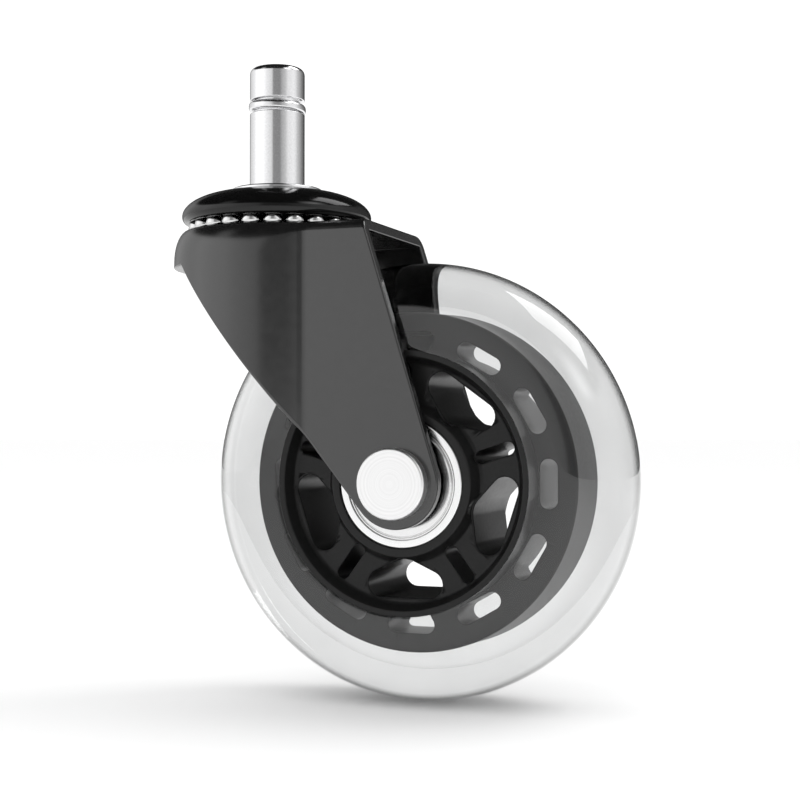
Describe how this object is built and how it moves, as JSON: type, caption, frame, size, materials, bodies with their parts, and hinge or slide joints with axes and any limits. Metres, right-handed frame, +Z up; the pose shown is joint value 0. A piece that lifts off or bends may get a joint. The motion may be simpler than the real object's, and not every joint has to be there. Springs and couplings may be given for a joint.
{
  "type": "office chair swivel caster",
  "caption": "Swivel caster with a grip-ring stem, pressed steel fork and a clear-tyred wheel on ball bearings.",
  "frame": {"origin": "on the stem axis, at the seat of the stem's shoulder, where the chair's socket ends", "axes": "+Z up along the stem, +X from the stem towards the trailing wheel, Y along the wheel's axle; the axle's flat factory head is on the -Y side"},
  "size_m": [0.0852, 0.0372, 0.1131],
  "materials": {
    "stem_steel": "bright zinc plate, fine vertical grain",
    "spring_steel": "bright sprung wire",
    "cap_black": "gloss black coating",
    "fork_black": "satin to gloss black coating",
    "race_steel": "ground steel",
    "ball_chrome": "polished balls",
    "axle_steel": "turned, fine concentric rings on the head",
    "bearing_steel": "ground and polished",
    "shield_steel": "pressed bright sheet",
    "cage_steel": "pressed ribbon",
    "hub_black": "moulded nylon, satin",
    "tyre_clear": "clear cast polyurethane, gloss"
  },
  "bodies": {
    "stem_body": {"stem": "stem_steel", "grip_ring": "spring_steel", "top_cap": "cap_black", "upper_race": "race_steel", "lower_race": "race_steel"},
    "upper_ball_ring": {"upper_balls": "ball_chrome"},
    "lower_ball_ring": {"lower_balls": "ball_chrome"},
    "fork_body": {"fork": "fork_black", "axle": "axle_steel", "axle_washer": "axle_steel", "near_spacer": "race_steel", "far_spacer": "race_steel", "bearing_spacer": "race_steel", "near_inner_race": "bearing_steel", "far_inner_race": "bearing_steel"},
    "wheel_body": {"tyre": "tyre_clear", "hub": "hub_black", "near_outer_race": "bearing_steel", "far_outer_race": "bearing_steel", "near_outer_shield": "shield_steel", "near_inner_shield": "shield_steel", "far_outer_shield": "shield_steel", "far_inner_shield": "shield_steel"},
    "near_ball_set": {"near_bearing_balls": "ball_chrome", "near_ball_cage": "cage_steel"},
    "far_ball_set": {"far_bearing_balls": "ball_chrome", "far_ball_cage": "cage_steel"}
  },
  "joints": [
    {"name": "swivel", "type": "hinge", "parent": "stem_body", "child": "fork_body", "pos_m": [0, 0, 0], "axis": [0, 0, 1], "continuous": true},
    {"name": "upper_ball_orbit", "type": "hinge", "parent": "stem_body", "child": "upper_ball_ring", "pos_m": [0, 0, 0], "axis": [0, 0, 1], "continuous": true},
    {"name": "lower_ball_orbit", "type": "hinge", "parent": "stem_body", "child": "lower_ball_ring", "pos_m": [0, 0, 0], "axis": [0, 0, 1], "continuous": true},
    {"name": "wheel_spin", "type": "hinge", "parent": "fork_body", "child": "wheel_body", "pos_m": [0.0285, 0, -0.053], "axis": [0, 1, 0], "continuous": true},
    {"name": "near_ball_orbit", "type": "hinge", "parent": "fork_body", "child": "near_ball_set", "pos_m": [0.0285, 0, -0.053], "axis": [0, 1, 0], "continuous": true},
    {"name": "far_ball_orbit", "type": "hinge", "parent": "fork_body", "child": "far_ball_set", "pos_m": [0.0285, 0, -0.053], "axis": [0, 1, 0], "continuous": true}
  ],
  "couplings": [
    {"joint": "upper_ball_orbit", "follows": "swivel", "ratio": 0.5},
    {"joint": "lower_ball_orbit", "follows": "swivel", "ratio": 0.5},
    {"joint": "near_ball_orbit", "follows": "wheel_spin", "ratio": 0.63233},
    {"joint": "far_ball_orbit", "follows": "wheel_spin", "ratio": 0.63233}
  ]
}
